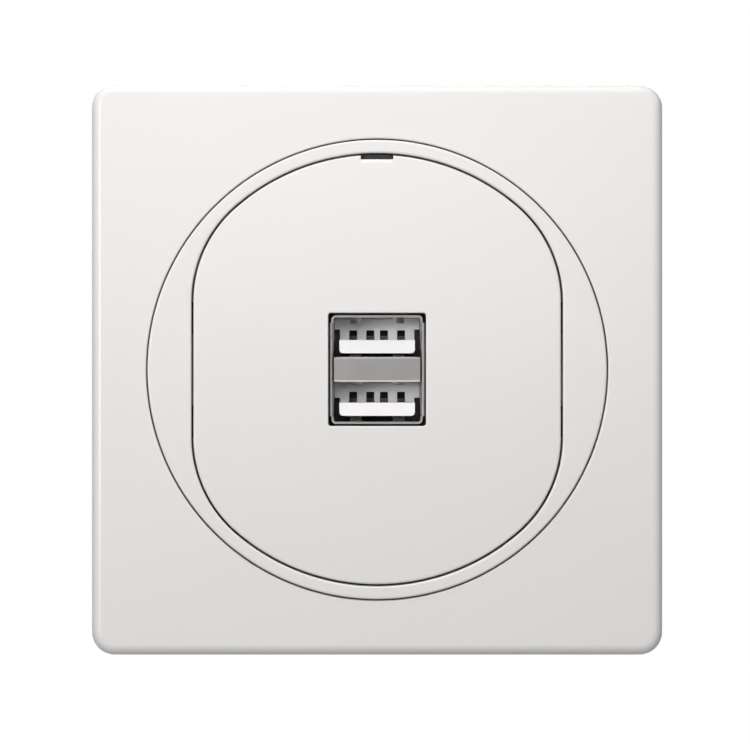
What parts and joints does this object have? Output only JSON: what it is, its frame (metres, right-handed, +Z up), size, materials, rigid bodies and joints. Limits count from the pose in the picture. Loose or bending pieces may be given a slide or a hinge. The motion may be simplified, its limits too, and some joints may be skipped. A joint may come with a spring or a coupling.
{
  "type": "usb wall socket",
  "caption": "Flush-mounted wall socket: square finishing plate, round trim ring and centre cover with a window onto stacked USB-A ports, on a steel frame and an insulated mechanism.",
  "frame": {"origin": "midway between the two wall screws, on the wall surface, which is the back of the support frame", "axes": "+X to the right and +Z up as seen from the room, -Y out of the wall towards the room"},
  "size_m": [0.082, 0.0398, 0.082],
  "materials": {
    "white_plastic": "smooth satin-gloss moulding",
    "housing_plastic": "fine matt moulding",
    "zinc_steel": "zinc-plated sheet",
    "screw_steel": "zinc-plated",
    "shell_steel": "bright nickel-plated sheet",
    "tongue_plastic": "plain moulding",
    "contact_gold": "gold-flashed spring strip",
    "board_laminate": "solder-masked laminate",
    "terminal_brass": "plain stamped brass",
    "ferrite": "fired ferrite",
    "copper_wire": "enamelled winding",
    "bobbin_plastic": "glass-filled moulding",
    "capacitor_sleeve": "shrunk sleeve",
    "disc_coating": "dipped coating",
    "package_plastic": "moulded package",
    "header_plastic": "moulded strip"
  },
  "bodies": {
    "mechanism": {"support_frame": "zinc_steel", "housing_front": "housing_plastic", "housing_rear": "housing_plastic", "usb_shell": "shell_steel", "usb_divider": "shell_steel", "upper_insulator": "tongue_plastic", "lower_insulator": "tongue_plastic", "usb_board": "board_laminate", "power_board": "board_laminate", "transformer_bobbin": "bobbin_plastic", "transformer_winding": "copper_wire", "transformer_core_front": "ferrite", "transformer_core_rear": "ferrite", "filter_choke_core": "ferrite", "filter_choke_winding": "copper_wire", "input_fuse": "package_plastic", "safety_capacitor": "disc_coating", "bridge_rectifier": "package_plastic", "switching_chip": "package_plastic", "charge_chip": "package_plastic", "output_rectifier": "package_plastic", "link_strip": "header_plastic", "link_pins": "contact_gold", "housing_screw_1": "screw_steel", "frame_screw_1": "screw_steel", "upper_contact_1": "contact_gold", "lower_contact_1": "contact_gold", "housing_screw_2": "screw_steel", "frame_screw_2": "screw_steel", "upper_contact_2": "contact_gold", "lower_contact_2": "contact_gold", "housing_screw_3": "screw_steel", "frame_screw_3": "screw_steel", "upper_contact_3": "contact_gold", "lower_contact_3": "contact_gold", "housing_screw_4": "screw_steel", "frame_screw_4": "screw_steel", "upper_contact_4": "contact_gold", "lower_contact_4": "contact_gold", "bulk_capacitor_1": "capacitor_sleeve", "output_capacitor_1": "capacitor_sleeve", "bulk_capacitor_2": "capacitor_sleeve", "output_capacitor_2": "capacitor_sleeve", "line_contact_bar": "terminal_brass", "neutral_contact_bar": "terminal_brass"},
    "plate": {"finishing_plate": "white_plastic"},
    "ring": {"trim_ring": "white_plastic"},
    "cover": {"centre_cover": "white_plastic"},
    "line_screw": {"line_terminal_screw": "screw_steel"},
    "line_cage": {"line_clamp_cage": "terminal_brass"},
    "neutral_screw": {"neutral_terminal_screw": "screw_steel"},
    "neutral_cage": {"neutral_clamp_cage": "terminal_brass"}
  },
  "joints": [
    {"name": "plate_pull", "type": "slide", "parent": "mechanism", "child": "plate", "axis": [0, -1, 0], "range_m": [0, 0.014]},
    {"name": "ring_pull", "type": "slide", "parent": "mechanism", "child": "ring", "axis": [0, -1, 0], "range_m": [0, 0.012]},
    {"name": "cover_pull", "type": "slide", "parent": "mechanism", "child": "cover", "axis": [0, -1, 0], "range_m": [0, 0.012]},
    {"name": "line_screw_turn", "type": "hinge", "parent": "mechanism", "child": "line_screw", "pos_m": [-0.0068, 0.0215, -0.0193], "axis": [0, 0, 1], "range_deg": [0, 1584]},
    {"name": "line_cage_slide", "type": "slide", "parent": "mechanism", "child": "line_cage", "axis": [0, 0, -1], "range_m": [0, 0.0022]},
    {"name": "neutral_screw_turn", "type": "hinge", "parent": "mechanism", "child": "neutral_screw", "pos_m": [0.0068, 0.0215, -0.0193], "axis": [0, 0, 1], "range_deg": [0, 1584]},
    {"name": "neutral_cage_slide", "type": "slide", "parent": "mechanism", "child": "neutral_cage", "axis": [0, 0, -1], "range_m": [0, 0.0022]}
  ],
  "couplings": [
    {"joint": "line_screw_turn", "follows": "line_cage_slide", "rad_per_m": 12566},
    {"joint": "neutral_screw_turn", "follows": "neutral_cage_slide", "rad_per_m": 12566}
  ]
}
